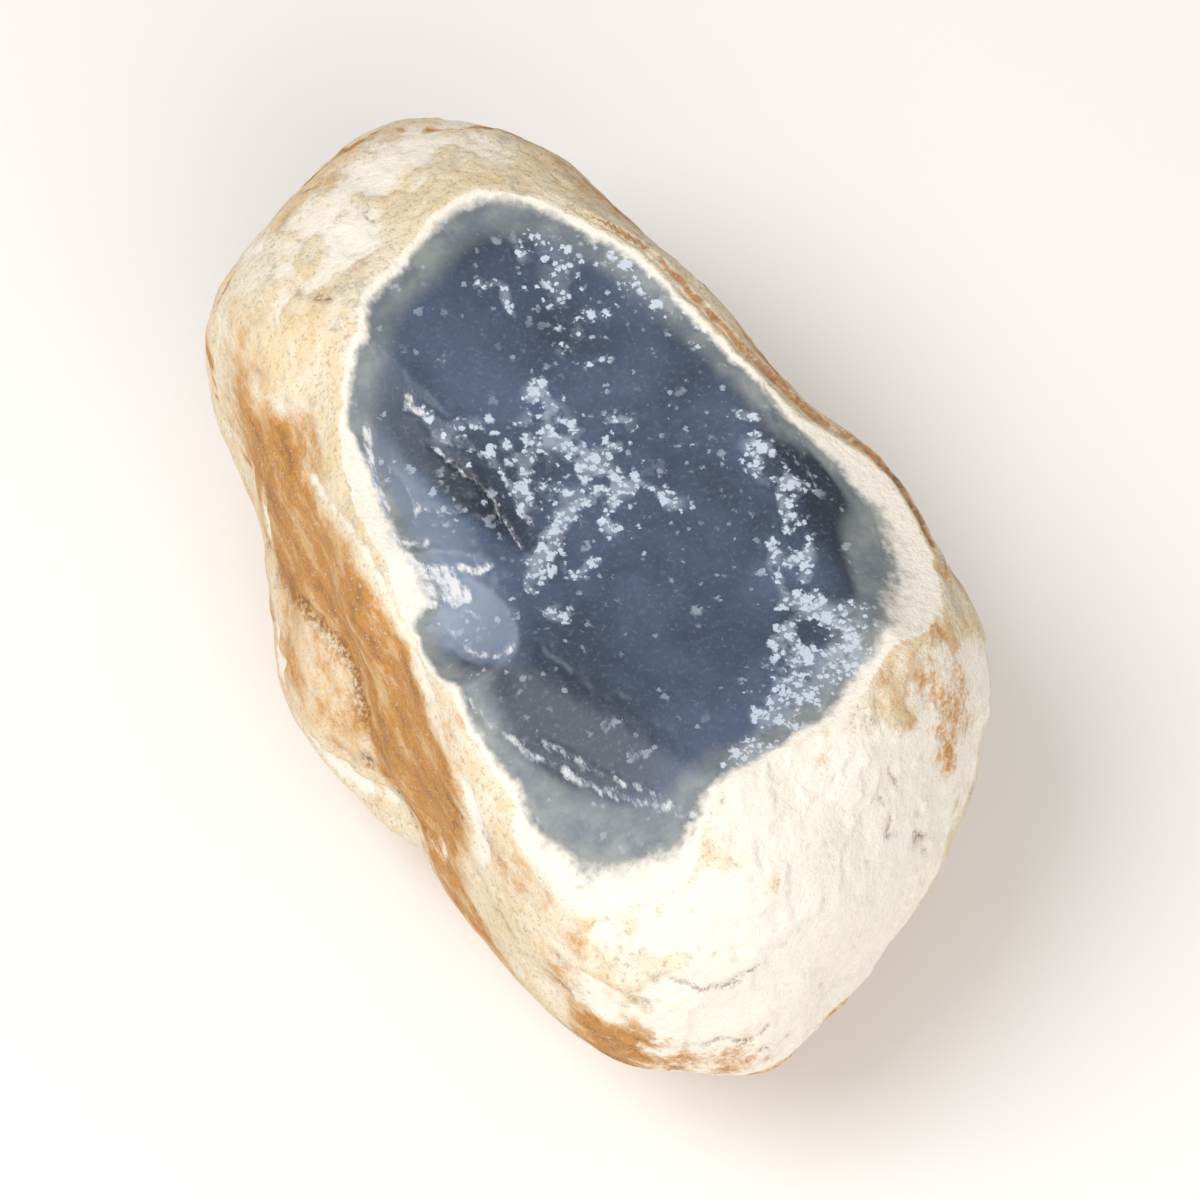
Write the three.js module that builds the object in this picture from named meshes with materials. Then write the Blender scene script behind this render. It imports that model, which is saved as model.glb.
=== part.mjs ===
// Blue chalcedony nodule: one broken stone, in millimetres, +Z up, lying on a small flat spot.
// Its long axis runs along Y, and its blunt end with the thickest rind is at -Y.
//
// A pale chalky rind wraps a blue core. Flakes have been knocked off the top, so a window of
// shell-shaped scars faces up. Every direction from the heart, a point inside the stone, meets
// the surface once, so the stone is one distance, worked out for each direction.

import * as THREE from 'three';
import { mergeVertices } from 'three/addons/utils/BufferGeometryUtils.js';

// Whole stone
const HEART = new THREE.Vector3(0, 0, 15.5); // all distances are measured from here
const CROWN = 17.4; // heart to the top of the unbroken skin
const BELLY = 16.05; // heart to the bottom of the unbroken skin, below the flat spot
const PROFILE_POWER = 2.3; // 2 gives an elliptical cross-section, more a boxier one
const STAND = new THREE.Vector3(-0.6, -1.7, 0); // moves the middle of the stone's box to the origin

// Outline of the unbroken skin seen from above, anticlockwise from the right side
const OUTLINE = [
  [18.7, -6.4], [16.1, 3.1], [12.2, 11.7], [9.6, 20.6], [5.6, 28.2], [-1.6, 32.2],
  [-9.6, 29.2], [-15.4, 23.2], [-15.6, 14.6], [-16.0, 4.4], [-14.4, -8.0], [-12.6, -18.4],
  [-8.8, -25.3], [-2.3, -28.5], [4.3, -26.5], [11.6, -22.0], [17.4, -15.0],
];
const OUTLINE_STEPS = 24; // samples between two outline points

// Old broken flank on the left: a nearly flat, steep face
const FLANK = { floor: [-14.0, -4.0, 21.0], facing: [-1, -0.08, 0.16], radius: 300 };

// Bulge that stands out below the flank, with a crease between them
const LOBE = { centre: [-8.6, 4.6, 11.0], half: [9.1, 14.4, 9.6], turn: -6 };
const CREASE_ROUNDING = 0.5;

// Weathered hollows low on the sides, with soft edges
const HOLLOWS = {
  right: { floor: [17.0, 3.5, 9.0], facing: [1, 0.35, -0.35], radius: 24 },
  far: { floor: [-4.0, 29.0, 7.5], facing: [-0.1, 1, -0.6], radius: 20 },
  near: { floor: [-4.5, -25.6, 8.5], facing: [-0.35, -1, -0.7], radius: 26 },
  belly: { floor: [7.5, -14.5, 1.6], facing: [0.45, -0.4, -1], radius: 34 },
};
const HOLLOW_ROUNDING = 1.6;

// Scars of the window: each flake left part of a large ball's surface
const SCARS = {
  main: { floor: [1.5, -0.5, 27.1], facing: [0.11, 0, 1], radius: 90 },
  left: { floor: [-8.0, 3.4, 27.8], facing: [-0.2, 0.02, 1], radius: 20 },
  right: { floor: [11.6, -3.5, 26.2], facing: [0.55, 0.04, 1], radius: 60 },
  near: { floor: [-9.0, -14.8, 26.45], facing: [-0.29, -0.16, 1], radius: 52 },
  chip: { floor: [-10.6, -4.4, 26.4], facing: [-0.25, 0.1, 1], radius: 7 },
};

// Ripples of the main scar, in rings about the point where the blow fell
const RIPPLES = { blow: [13, -19, 26], height: 0.06, pitch: 7.4 };

// Lumps of the rind: waves over the directions, each with a height in millimetres
const LUMPS = [
  { height: 0.36, across: [5.1, 0, 0, 1.3], along: [0, 6.3, 0, 0.4] },
  { height: 0.3, across: [-2.1, 7.9, 0, 2.0], along: [0, 0, 6.7, 0.9] },
  { height: 0.22, across: [4.0, 0, 11.3, 0], along: [0, 9.1, 0, 1.7] },
  { height: 0.16, across: [13.0, 5.0, 0, 0.7], along: [0, -6.0, 12.0, 2.6] },
];

// Distance that stands for a direction in which a bite is missed
const MISS = 1000;

// Shallow pits of the rind, spread evenly and then varied in size
const PITS = { count: 44, depth: [0.15, 0.5], reach: [0.9, 2.1] };
const GOLDEN_ANGLE = Math.PI * (3 - Math.sqrt(5));

// Mesh
const DETAIL = 20; // 20 (DETAIL + 1)^2 triangles
const SPREAD = [18, 30, 17]; // half sizes that spread the facets evenly over the long stone
const WINDOW_BIAS = 4; // crowds the facets a little towards the window

const RIND = new THREE.MeshStandardMaterial({ color: '#e9dcc2', roughness: 0.85, metalness: 0 });

function vector(values) {
  return new THREE.Vector3(...values);
}

// Distances to the outline, sorted by the angle at which the heart sees them
function traceOutline() {
  const corners = OUTLINE.map(([x, y]) => new THREE.Vector3(x, y, 0));
  const curve = new THREE.CatmullRomCurve3(corners, true, 'catmullrom', 0.5);
  const points = curve.getPoints(OUTLINE.length * OUTLINE_STEPS).slice(1);
  const samples = points.map((p) => ({ angle: Math.atan2(p.y, p.x), reach: Math.hypot(p.x, p.y) }));
  samples.sort((a, b) => a.angle - b.angle);
  const first = samples[0];
  const last = samples[samples.length - 1];
  return [
    { angle: last.angle - 2 * Math.PI, reach: last.reach },
    ...samples,
    { angle: first.angle + 2 * Math.PI, reach: first.reach },
  ];
}

const outlineSamples = traceOutline();

function outlineReach(angle) {
  const after = outlineSamples.findIndex((sample) => sample.angle > angle);
  const a = outlineSamples[after - 1];
  const b = outlineSamples[after];
  return THREE.MathUtils.mapLinear(angle, a.angle, b.angle, a.reach, b.reach);
}

// Unbroken skin: the outline seen from above, with a boxy ellipse as its cross-section
function skinReach(direction) {
  const level = Math.hypot(direction.x, direction.y);
  const wide = level / outlineReach(Math.atan2(direction.y, direction.x));
  const high = Math.abs(direction.z) / (direction.z > 0 ? CROWN : BELLY);
  return (wide ** PROFILE_POWER + high ** PROFILE_POWER) ** (-1 / PROFILE_POWER);
}

// Far side of the bulge, an ellipsoid that holds the heart, turned about +Z
function lobeReach(direction) {
  const up = new THREE.Vector3(0, 0, 1);
  const turn = -THREE.MathUtils.degToRad(LOBE.turn);
  const half = vector(LOBE.half);
  const start = HEART.clone().sub(vector(LOBE.centre)).applyAxisAngle(up, turn).divide(half);
  const way = direction.clone().applyAxisAngle(up, turn).divide(half);
  const a = way.lengthSq();
  const b = way.dot(start);
  const c = start.lengthSq() - 1;
  const discriminant = b * b - a * c;
  return discriminant > 0 ? (Math.sqrt(discriminant) - b) / a : 0;
}

// Near side of the ball that took a bite, which the heart sees from outside the ball
function biteReach(direction, bite) {
  const facing = vector(bite.facing).normalize();
  const centre = vector(bite.floor).addScaledVector(facing, bite.radius).sub(HEART);
  const b = direction.dot(centre);
  const discriminant = b * b - centre.lengthSq() + bite.radius ** 2;
  return b > 0 && discriminant > 0 ? b - Math.sqrt(discriminant) : MISS;
}

// The greater of two distances, rounded where they cross
function smoothMax(a, b, width) {
  const mix = THREE.MathUtils.clamp(0.5 + (0.5 * (a - b)) / width, 0, 1);
  return THREE.MathUtils.lerp(b, a, mix) + width * mix * (1 - mix);
}

function smoothMin(a, b, width) {
  return -smoothMax(-a, -b, width);
}

function wave(direction, [x, y, z, phase]) {
  return Math.sin(x * direction.x + y * direction.y + z * direction.z + phase);
}

function lumpHeight(direction) {
  const heights = LUMPS.map((lump) => (
    lump.height * wave(direction, lump.across) * wave(direction, lump.along)
  ));
  return heights.reduce((sum, height) => sum + height, 0);
}

// Pits lie along a golden-angle spiral, and the fraction of a large multiple varies their size
function makePits() {
  return Array.from({ length: PITS.count }, (_, index) => {
    const z = 1 - (2 * index + 1) / PITS.count;
    const level = Math.sqrt(1 - z * z);
    const angle = index * GOLDEN_ANGLE;
    const direction = new THREE.Vector3(level * Math.cos(angle), level * Math.sin(angle), z);
    const size = THREE.MathUtils.euclideanModulo(Math.sin(index + 1) * 43.7, 1);
    return {
      direction: direction.multiply(vector(SPREAD)).normalize(),
      depth: THREE.MathUtils.lerp(...PITS.depth, size),
      reach: THREE.MathUtils.lerp(...PITS.reach, 1 - size * size),
    };
  });
}

const pits = makePits();

function pitDepth(direction, distance) {
  const depths = pits.map((pit) => {
    const away = pit.direction.distanceTo(direction) * distance;
    return pit.depth * Math.exp(-((away / pit.reach) ** 2));
  });
  return depths.reduce((sum, depth) => sum + depth, 0);
}

// Rind of the whole stone before the window was broken open
function rindReach(direction) {
  const trimmed = Math.min(skinReach(direction), biteReach(direction, FLANK));
  const bulged = smoothMax(trimmed, lobeReach(direction), CREASE_ROUNDING);
  const worn = Object.values(HOLLOWS).reduce((reach, hollow) => (
    smoothMin(reach, biteReach(direction, hollow), HOLLOW_ROUNDING)
  ), bulged);
  return worn + lumpHeight(direction) - pitDepth(direction, worn);
}

function rippleHeight(direction, distance) {
  const point = HEART.clone().addScaledVector(direction, distance);
  const away = point.distanceTo(vector(RIPPLES.blow));
  return RIPPLES.height * Math.sin((2 * Math.PI * away) / RIPPLES.pitch);
}

function scarReach(direction) {
  const main = biteReach(direction, SCARS.main);
  const nearest = Math.min(...Object.values(SCARS).map((scar) => biteReach(direction, scar)));
  return nearest === main ? nearest + rippleHeight(direction, nearest) : nearest;
}

// The flat spot is where the stone meets the plane z = 0
function groundReach(direction) {
  return direction.z < 0 ? -HEART.z / direction.z : MISS;
}

function stoneReach(direction) {
  return Math.min(rindReach(direction), scarReach(direction), groundReach(direction));
}

// A ball of even facets whose corners are moved out to the surface of the stone
function makeStone() {
  const ball = new THREE.IcosahedronGeometry(1, DETAIL);
  ball.deleteAttribute('normal');
  ball.deleteAttribute('uv');
  const geometry = mergeVertices(ball, 1e-5);
  const corners = geometry.attributes.position;
  const direction = new THREE.Vector3();
  for (let index = 0; index < corners.count; index += 1) {
    direction.fromBufferAttribute(corners, index).multiply(vector(SPREAD));
    direction.z += WINDOW_BIAS;
    direction.normalize();
    const corner = direction.clone().multiplyScalar(stoneReach(direction)).add(HEART).add(STAND);
    corners.setXYZ(index, corner.x, corner.y, direction.z < 0 ? Math.max(0, corner.z) : corner.z);
  }
  geometry.computeVertexNormals();
  return new THREE.Mesh(geometry, RIND);
}

const nodule = makeStone();
nodule.name = 'nodule';

const model = new THREE.Group();
model.add(nodule);

export default model;
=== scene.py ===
"""Blue chalcedony nodule: the visual model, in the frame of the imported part.

The nodule is one stone. A chalky rind with an ochre film wraps a blue core, and flakes knocked
off the top left a window of shell-shaped scars. Every direction from the heart, a point inside
the stone, meets the surface once, so the form is one distance for each direction. Forms are
worked out in millimetres and put into the mesh in metres.
"""

import logging
import math
from dataclasses import dataclass, field
from enum import Enum
from typing import Any

import bmesh
import bpy
import numpy as np
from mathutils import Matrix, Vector, noise


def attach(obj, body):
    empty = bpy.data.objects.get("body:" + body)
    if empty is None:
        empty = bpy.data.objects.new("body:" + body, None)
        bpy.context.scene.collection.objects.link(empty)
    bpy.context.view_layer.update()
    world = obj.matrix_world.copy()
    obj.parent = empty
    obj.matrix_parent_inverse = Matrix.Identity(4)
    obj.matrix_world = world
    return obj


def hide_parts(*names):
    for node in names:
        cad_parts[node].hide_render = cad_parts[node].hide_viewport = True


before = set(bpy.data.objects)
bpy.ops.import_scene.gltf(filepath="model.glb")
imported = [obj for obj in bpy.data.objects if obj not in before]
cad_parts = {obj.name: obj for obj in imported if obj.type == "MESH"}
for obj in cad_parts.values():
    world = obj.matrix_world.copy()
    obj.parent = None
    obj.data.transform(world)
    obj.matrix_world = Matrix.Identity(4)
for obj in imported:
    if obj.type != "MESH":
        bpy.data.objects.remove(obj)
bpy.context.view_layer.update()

LOG = logging.getLogger("nodule")
Array = np.ndarray
Pair = tuple[float, float]
Triple = tuple[float, float, float]
Quad = tuple[float, float, float, float]
Socket = bpy.types.NodeSocket
Value = Socket | float  # what an input takes: a link, or a value of its own

MM = 0.001  # metres in a millimetre
MISS = 1000.0  # distance that stands for a direction in which a bite is missed
GOLDEN_ANGLE = math.pi * (3 - math.sqrt(5))
NOISE_ROUGHNESS = 0.8  # how fast the finer layers of noise grow weaker
NOISE_STEP = 2.0  # each layer is this many times finer than the last

NODE = "nodule"
BODY = "root"
HEART = np.array([0.0, 0.0, 15.5])  # all distances are measured from here
STAND = np.array([-0.6, -1.7, 0.0])  # moves the middle of the stone's box to the origin


class Mark(Enum):
    """What the mesh carries at each point for the material."""

    DEPTH = "rind_depth"
    COVER = "rind_cover"
    # above 0 a lighter haze, below 0 a deeper blue that is mostly painted shade
    TONE_AND_SHADE = "core_tone_and_shade"
    BRUISE = "bruise"
    STAIN = "stain"
    # layers come off, and a painted highlight along the crest above the flank
    PEEL_AND_HIGHLIGHT = "peel_and_highlight"
    SEAM = "seam"
    # dark cracks, and painted shade in the crease beside the flank
    GRIME_AND_SHADE = "grime_and_shade"
    EDGES = "flake_edges"


def unit(values: Triple) -> Array:
    """Give the unit vector along a direction."""
    vector = np.array(values, float)
    return vector / np.linalg.norm(vector)


def ramp(low: float, high: float, values: Array) -> Array:
    """Rise smoothly from 0 at low to 1 at high, or fall where low is the greater."""
    t = np.clip((values - low) / (high - low), 0, 1)
    return t * t * (3 - 2 * t)


def smooth_max(a: Array, b: Array, width: float) -> Array:
    """Give the greater of two distances, rounded where they cross."""
    mix = np.clip(0.5 + 0.5 * (a - b) / width, 0, 1)
    return b + (a - b) * mix + width * mix * (1 - mix)


def smooth_min(a: Array, b: Array, width: float) -> Array:
    """Give the lesser of two distances, rounded where they cross."""
    return -smooth_max(-a, -b, width)


def cloud(points: Array, size: float, octaves: float, seed: float) -> Array:
    """Sample fractal noise at points.

    Args:
        points: Places in millimetres.
        size: Width of the largest lumps, in millimetres.
        octaves: How many finer layers are added.
        seed: Shifts the pattern, so that each use differs.

    Returns:
        One value for each point, mostly between -1 and 1.
    """
    places = points / size + seed
    return np.array([noise.fractal(place, NOISE_ROUGHNESS, NOISE_STEP, octaves)
                     for place in places.tolist()])


def along_run(places: Array, start: Pair | Triple, end: Pair | Triple) -> Array:
    """Find the place on a straight run that is nearest to each of several places.

    Args:
        places: Places to start from.
        start: Where the run starts.
        end: Where the run ends.

    Returns:
        The nearest place on the run for each of them.
    """
    first = np.array(start)
    run = np.array(end) - first
    along = np.clip((places - first) @ run / (run @ run), 0, 1)
    return first + along[:, None] * run


@dataclass(frozen=True)
class Swell:
    """Fractal bumps in space."""

    height: float
    size: float  # width of the largest bumps, in millimetres
    octaves: int
    seed: float  # shifts the pattern

    def rise(self, points: Array) -> Array:
        """Give the height of the bumps at each point."""
        return self.height * cloud(points, self.size, self.octaves, self.seed)


@dataclass(frozen=True)
class Wander:
    """Shifts that make lines measured from the shifted points run unevenly."""

    amount: float
    size: float = 2.2
    seeds: Triple = (31.7, 47.3, 63.9)

    def shift(self, points: Array) -> Array:
        """Shift points by noise along each axis.

        Args:
            points: Places in millimetres.

        Returns:
            The shifted points.
        """
        shifts = [cloud(points, self.size, 2, seed) for seed in self.seeds]
        return points + self.amount * np.stack(shifts, axis=1)


@dataclass(frozen=True)
class Bite:
    """Part of a large ball's surface, left where a flake came off."""

    floor: Triple
    facing: Triple
    radius: float

    def reach(self, ways: Array) -> Array:
        """Measure how far the ball is from the heart.

        Args:
            ways: Unit directions from the heart.

        Returns:
            The distance to the near side of the ball, or MISS.
        """
        centre = np.array(self.floor) + unit(self.facing) * self.radius - HEART
        along = ways @ centre
        inside = along**2 - centre @ centre + self.radius**2
        met = (along > 0) & (inside > 0)
        return np.where(met, along - np.sqrt(np.maximum(inside, 0)), MISS)


@dataclass(frozen=True)
class Bulge:
    """Ellipsoid that holds the heart and stands out of the flank."""

    centre: Triple
    half: Triple
    turn: float

    def reach(self, ways: Array) -> Array:
        """Measure how far the far side of the ellipsoid is from the heart.

        Args:
            ways: Unit directions from the heart.

        Returns:
            The distance, or 0 in directions that miss it.
        """
        cosine = math.cos(math.radians(self.turn))
        sine = math.sin(math.radians(self.turn))
        turned = np.array([[cosine, sine, 0], [-sine, cosine, 0], [0, 0, 1]])
        half = np.array(self.half)
        way = (ways @ turned.T) / half
        start = (turned @ (HEART - np.array(self.centre))) / half
        a = (way**2).sum(1)
        b = way @ start
        inside = b * b - a * (start @ start - 1)
        return np.where(inside > 0, (np.sqrt(np.maximum(inside, 0)) - b) / a, 0)


@dataclass(frozen=True)
class Lump:
    """Two crossed waves over the directions, with their height in millimetres."""

    height: float
    across: Quad
    along: Quad

    def rise(self, ways: Array) -> Array:
        """Give the height of the lump in each direction.

        Args:
            ways: Unit directions from the heart.

        Returns:
            The height in millimetres.
        """
        across = np.sin(ways @ np.array(self.across[:3]) + self.across[3])
        along = np.sin(ways @ np.array(self.along[:3]) + self.along[3])
        return self.height * across * along


@dataclass(frozen=True)
class Stroke:
    """Soft line over the window, seen from above."""

    path: tuple[Pair, ...]
    width: float
    amount: float = 1.0

    def cover(self, points: Array) -> Array:
        """Measure how strongly the stroke covers each point.

        Args:
            points: Places in millimetres.

        Returns:
            The amount on the line, fading to 0 away from it.
        """
        places = points[:, :2]
        nearest = np.full(len(points), MISS)
        for start, end in zip(self.path, self.path[1:]):
            away = np.linalg.norm(places - along_run(places, start, end), axis=1)
            nearest = np.minimum(nearest, away)
        return self.amount * np.exp(-((nearest / self.width) ** 2))


@dataclass(frozen=True)
class Trace:
    """Soft line over the rind, seen from the heart, so its depth doesn't matter."""

    path: tuple[Triple, ...]
    width: float
    amount: float = 1.0

    def cover(self, points: Array) -> Array:
        """Measure how strongly the trace covers each point.

        Args:
            points: Places in millimetres.

        Returns:
            The amount on the line, fading to 0 away from it.
        """
        ways = points - HEART
        reaches = np.linalg.norm(ways, axis=1)
        ways = ways / reaches[:, None]
        corners = [unit(np.array(corner) - HEART) for corner in self.path]
        nearest = np.full(len(points), MISS)
        for start, end in zip(corners, corners[1:]):
            closest = along_run(ways, start, end)
            closest /= np.linalg.norm(closest, axis=1)[:, None]
            nearest = np.minimum(nearest, np.linalg.norm(ways - closest, axis=1) * reaches)
        return self.amount * np.exp(-((nearest / self.width) ** 2))


@dataclass(frozen=True)
class Patch:
    """Oval area over the window, seen from above."""

    centre: Pair
    half: Pair
    turn: float
    amount: float
    edge: float = 0.3

    def cover(self, points: Array) -> Array:
        """Measure how strongly the patch covers each point.

        Args:
            points: Places in millimetres.

        Returns:
            The amount inside the oval, fading to 0 over its edge.
        """
        cosine = math.cos(math.radians(self.turn))
        sine = math.sin(math.radians(self.turn))
        away = points[:, :2] - np.array(self.centre)
        long_way = (away @ np.array([cosine, sine])) / self.half[0]
        short_way = (away @ np.array([-sine, cosine])) / self.half[1]
        return self.amount * ramp(1 + self.edge, 1 - self.edge, np.hypot(long_way, short_way))


@dataclass(frozen=True)
class Spot:
    """Round area of the rind about a place in space."""

    centre: Triple
    reach: float
    amount: float

    def cover(self, points: Array) -> Array:
        """Give the amount at the centre, fading to 0 away from it."""
        away = np.linalg.norm(points - np.array(self.centre), axis=1)
        return self.amount * np.exp(-((away / self.reach) ** 2))


def total(parts: tuple, points: Array) -> Array:
    """Add up what several strokes, patches or spots cover at each point."""
    return sum(part.cover(points) for part in parts)


@dataclass
class StoneForm:
    """The nodule's form, down to about one millimetre, as the solid has it."""

    crown: float = 17.4  # heart to the top of the unbroken skin
    belly: float = 16.05  # heart to the bottom of the unbroken skin
    profile_power: float = 2.3
    outline: tuple[Pair, ...] = (
        (18.7, -6.4), (16.1, 3.1), (12.2, 11.7), (9.6, 20.6), (5.6, 28.2), (-1.6, 32.2),
        (-9.6, 29.2), (-15.4, 23.2), (-15.6, 14.6), (-16.0, 4.4), (-14.4, -8.0),
        (-12.6, -18.4), (-8.8, -25.3), (-2.3, -28.5), (4.3, -26.5), (11.6, -22.0),
        (17.4, -15.0),
    )
    outline_steps: int = 24
    flank: Bite = Bite((-14.0, -4.0, 21.0), (-1, -0.08, 0.16), 300)
    lobe: Bulge = Bulge((-8.6, 4.6, 11.0), (9.1, 14.4, 9.6), -6)
    crease_rounding: float = 0.5
    hollows: tuple[Bite, ...] = (
        Bite((17.0, 3.5, 9.0), (1, 0.35, -0.35), 24),
        Bite((-4.0, 29.0, 7.5), (-0.1, 1, -0.6), 20),
        Bite((-4.5, -25.6, 8.5), (-0.35, -1, -0.7), 26),
        Bite((7.5, -14.5, 1.6), (0.45, -0.4, -1), 34),
    )
    hollow_rounding: float = 1.6
    lumps: tuple[Lump, ...] = (
        Lump(0.36, (5.1, 0, 0, 1.3), (0, 6.3, 0, 0.4)),
        Lump(0.3, (-2.1, 7.9, 0, 2.0), (0, 0, 6.7, 0.9)),
        Lump(0.22, (4.0, 0, 11.3, 0), (0, 9.1, 0, 1.7)),
        Lump(0.16, (13.0, 5.0, 0, 0.7), (0, -6.0, 12.0, 2.6)),
    )
    pit_count: int = 44
    pit_mixing: float = 43.7  # mixes the pits' sizes
    pit_depth: Pair = (0.15, 0.5)
    pit_reach: Pair = (0.9, 2.1)
    spread: Triple = (18, 30, 17)
    main: Bite = Bite((1.5, -0.5, 27.1), (0.11, 0, 1), 90)
    left: Bite = Bite((-8.0, 3.4, 27.8), (-0.2, 0.02, 1), 20)
    right: Bite = Bite((11.6, -3.5, 26.2), (0.55, 0.04, 1), 60)
    near: Bite = Bite((-9.0, -14.8, 26.45), (-0.29, -0.16, 1), 52)
    chip: Bite = Bite((-10.6, -4.4, 26.4), (-0.25, 0.1, 1), 7)
    blow: Triple = (13, -19, 26)
    ripple_height: float = 0.06
    ripple_pitch: float = 7.4
    arris_rounding: float = 0.16
    sheet_rounding: float = 1.6
    chip_rounding: float = 0.7

    def outline_reach(self, angles: Array) -> Array:
        """Measure the skin's outline, seen from above.

        Args:
            angles: Angles about +Z, in radians.

        Returns:
            The distance from the heart to the outline at each angle.
        """
        corners = np.array(self.outline)
        before, after, beyond = (np.roll(corners, shift, axis=0) for shift in (1, -1, -2))
        steps = np.arange(self.outline_steps)[:, None, None] / self.outline_steps
        curve = 0.5 * (
            2 * corners
            + (after - before) * steps
            + (2 * before - 5 * corners + 4 * after - beyond) * steps**2
            + (3 * corners - before - 3 * after + beyond) * steps**3
        ).reshape(-1, 2)
        seen = np.arctan2(curve[:, 1], curve[:, 0])
        order = np.argsort(seen)
        reaches = np.hypot(curve[:, 0], curve[:, 1])
        return np.interp(angles, seen[order], reaches[order], period=2 * math.pi)

    def skin_reach(self, ways: Array) -> Array:
        """Measure the unbroken skin, with a boxy ellipse as its cross-section.

        Args:
            ways: Unit directions from the heart.

        Returns:
            The distance to the skin in each direction.
        """
        level = np.hypot(ways[:, 0], ways[:, 1])
        wide = level / self.outline_reach(np.arctan2(ways[:, 1], ways[:, 0]))
        high = np.abs(ways[:, 2]) / np.where(ways[:, 2] > 0, self.crown, self.belly)
        power = self.profile_power
        return (wide**power + high**power) ** (-1 / power)

    def pits(self, ways: Array, reaches: Array) -> Array:
        """Work out the shallow pits, which lie along a golden-angle spiral.

        Args:
            ways: Unit directions from the heart.
            reaches: The distance to the skin in each of them.

        Returns:
            The depth of the pits in millimetres.
        """
        depths = np.zeros(len(ways))
        for index in range(self.pit_count):
            z = 1 - (2 * index + 1) / self.pit_count
            level = math.sqrt(1 - z * z)
            turn = index * GOLDEN_ANGLE
            ball = np.array([level * math.cos(turn), level * math.sin(turn), z])
            way = unit(ball * np.array(self.spread))
            size = (math.sin(index + 1) * self.pit_mixing) % 1
            depth = np.interp(size, (0, 1), self.pit_depth)
            reach = np.interp(1 - size * size, (0, 1), self.pit_reach)
            away = np.linalg.norm(ways - way, axis=1) * reaches
            depths += depth * np.exp(-((away / reach) ** 2))
        return depths

    def flank_cut(self, ways: Array) -> Array:
        """Measure how deeply the steep flank is cut into the skin, less than 0 beyond it."""
        return self.skin_reach(ways) - self.flank.reach(ways)

    def rind_reach(self, ways: Array) -> Array:
        """Measure the rind of the whole stone, before the window was broken open.

        Args:
            ways: Unit directions from the heart.

        Returns:
            The distance to the rind in each direction.
        """
        trimmed = np.minimum(self.skin_reach(ways), self.flank.reach(ways))
        worn = smooth_max(trimmed, self.lobe.reach(ways), self.crease_rounding)
        for hollow in self.hollows:
            worn = smooth_min(worn, hollow.reach(ways), self.hollow_rounding)
        rise = sum(lump.rise(ways) for lump in self.lumps)
        return worn + rise - self.pits(ways, worn)

    def scar_reaches(self, ways: Array) -> Array:
        """Measure each scar of the window.

        Args:
            ways: Unit directions from the heart.

        Returns:
            The distances to the main, left, right, near and chip scars, in that order.
        """
        main = self.main.reach(ways)
        away = np.linalg.norm(HEART + ways * main[:, None] - np.array(self.blow), axis=1)
        main = main + self.ripple_height * np.sin(2 * math.pi * away / self.ripple_pitch)
        others = [bite.reach(ways) for bite in (self.left, self.right, self.near, self.chip)]
        return np.array([main, *others])

    def ground_reach(self, ways: Array) -> Array:
        """Measure the plane that the stone lies on."""
        falling = ways[:, 2] < 0
        return np.where(falling, HEART[2] / np.maximum(-ways[:, 2], 1e-9), MISS)


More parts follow.
